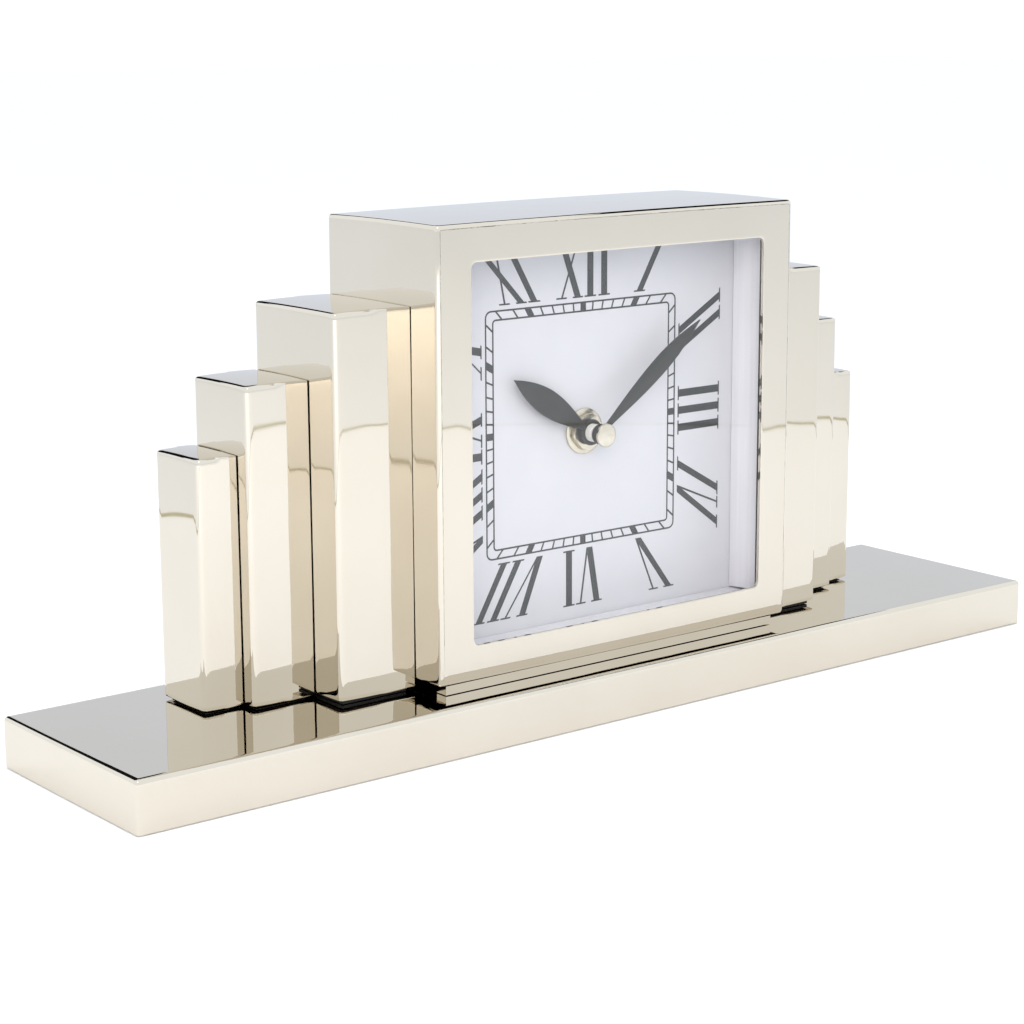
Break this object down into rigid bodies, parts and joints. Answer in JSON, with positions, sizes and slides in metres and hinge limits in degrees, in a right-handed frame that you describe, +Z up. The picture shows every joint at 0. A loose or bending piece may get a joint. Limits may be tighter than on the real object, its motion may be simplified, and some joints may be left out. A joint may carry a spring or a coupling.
{
  "type": "mantel clock",
  "caption": "Stepped mantel clock: long plinth, square glazed case with a square dial and two hands, and stepped columns on each side",
  "frame": {"origin": "on the table under the middle of the base", "axes": "+X right seen from the front, +Y towards the back, +Z up; the dial faces -Y"},
  "size_m": [0.47, 0.102, 0.2053],
  "materials": {
    "polished_nickel": "mirror-polished warm nickel plate",
    "zinc_steel": "zinc-plated steel",
    "base_plate_steel": "black-painted steel plate",
    "base_felt": "pressed black felt",
    "black_rubber": "matt moulded rubber",
    "black_lacquer": "satin black lacquer on sheet steel",
    "clear_glass": "clear float glass",
    "liner_card": "white laminated board",
    "dial_card": "white printed board",
    "hand_black": "semi-gloss black lacquer on brass blanks",
    "cap_nickel": "polished nickel",
    "dial_brass": "nickel-washed brass",
    "spring_brass": "plain brass sheet",
    "black_plastic": "fine-spark moulded ABS",
    "white_plastic": "moulded acetal",
    "battery_wrap": "printed shrink film, left blank",
    "circuit_laminate": "solder-masked laminate",
    "coil_copper": "enamelled copper wire winding"
  },
  "bodies": {
    "frame": {"base_shell": "polished_nickel", "base_plate": "base_plate_steel", "base_felt": "base_felt", "case_shell": "polished_nickel", "case_riser": "polished_nickel", "case_screw_1": "zinc_steel", "case_screw_2": "zinc_steel", "back_cover": "black_lacquer", "cover_screw_1": "zinc_steel", "cover_screw_2": "zinc_steel", "cover_screw_3": "zinc_steel", "cover_screw_4": "zinc_steel", "column_left_inner": "polished_nickel", "pad_left_inner": "black_rubber", "screw_left_inner": "zinc_steel", "column_left_middle": "polished_nickel", "pad_left_middle": "black_rubber", "screw_left_middle": "zinc_steel", "column_left_outer": "polished_nickel", "pad_left_outer": "black_rubber", "screw_left_outer": "zinc_steel", "column_right_inner": "polished_nickel", "pad_right_inner": "black_rubber", "screw_right_inner": "zinc_steel", "column_right_middle": "polished_nickel", "pad_right_middle": "black_rubber", "screw_right_middle": "zinc_steel", "column_right_outer": "polished_nickel", "pad_right_outer": "black_rubber", "screw_right_outer": "zinc_steel", "glass_pane": "clear_glass", "glass_gasket": "black_rubber", "liner_top": "liner_card", "liner_bottom": "liner_card", "liner_left": "liner_card", "liner_right": "liner_card", "dial_plate": "dial_card", "movement_housing": "black_plastic", "movement_cover": "white_plastic", "movement_gasket": "black_rubber", "dial_washer": "dial_brass", "hex_nut": "dial_brass", "battery": "battery_wrap", "contact_plus": "spring_brass", "contact_minus": "spring_brass", "circuit_board": "circuit_laminate", "coil": "coil_copper", "stator": "zinc_steel"},
    "minute_hand_body": {"minute_arbor": "zinc_steel", "minute_hand": "hand_black", "cap_nut": "cap_nickel"},
    "hour_hand_body": {"hour_wheel": "white_plastic", "hour_hand": "hand_black"},
    "setting_body": {"minute_wheel": "white_plastic", "setting_knob": "black_plastic"},
    "fourth_wheel_body": {"fourth_wheel": "white_plastic"},
    "rotor_body": {"rotor": "zinc_steel"},
    "fifth_wheel_body": {"fifth_wheel": "white_plastic"},
    "third_wheel_body": {"third_wheel": "spring_brass"},
    "centre_wheel_body": {"centre_wheel": "spring_brass"}
  },
  "joints": [
    {"name": "minute_hand_turn", "type": "hinge", "parent": "frame", "child": "minute_hand_body", "pos_m": [0, 0, 0.1133], "axis": [0, 1, 0], "continuous": true},
    {"name": "hour_hand_turn", "type": "hinge", "parent": "frame", "child": "hour_hand_body", "pos_m": [0, 0, 0.1133], "axis": [0, 1, 0], "continuous": true},
    {"name": "setting_knob_turn", "type": "hinge", "parent": "frame", "child": "setting_body", "pos_m": [0.012, 0, 0.1133], "axis": [0, 1, 0], "continuous": true},
    {"name": "fourth_wheel_spin", "type": "hinge", "parent": "frame", "child": "fourth_wheel_body", "pos_m": [-0.00758, 0, 0.12874], "axis": [0, 1, 0], "continuous": true},
    {"name": "rotor_spin", "type": "hinge", "parent": "frame", "child": "rotor_body", "pos_m": [0.00746, 0, 0.12975], "axis": [0, 1, 0], "continuous": true},
    {"name": "fifth_wheel_spin", "type": "hinge", "parent": "frame", "child": "fifth_wheel_body", "pos_m": [0.00069, 0, 0.12729], "axis": [0, 1, 0], "continuous": true},
    {"name": "third_wheel_spin", "type": "hinge", "parent": "frame", "child": "third_wheel_body", "pos_m": [-0.00935, 0, 0.1187], "axis": [0, 1, 0], "continuous": true},
    {"name": "centre_wheel_spin", "type": "hinge", "parent": "frame", "child": "centre_wheel_body", "pos_m": [0, 0, 0.1133], "axis": [0, 1, 0], "continuous": true}
  ],
  "couplings": [
    {"joint": "hour_hand_turn", "follows": "minute_hand_turn", "ratio": 0.083333},
    {"joint": "setting_knob_turn", "follows": "minute_hand_turn", "ratio": -0.33333},
    {"joint": "rotor_spin", "follows": "fourth_wheel_spin", "ratio": 30},
    {"joint": "fifth_wheel_spin", "follows": "fourth_wheel_spin", "ratio": -6},
    {"joint": "third_wheel_spin", "follows": "fourth_wheel_spin", "ratio": -0.13333},
    {"joint": "centre_wheel_spin", "follows": "fourth_wheel_spin", "ratio": 0.016667}
  ]
}
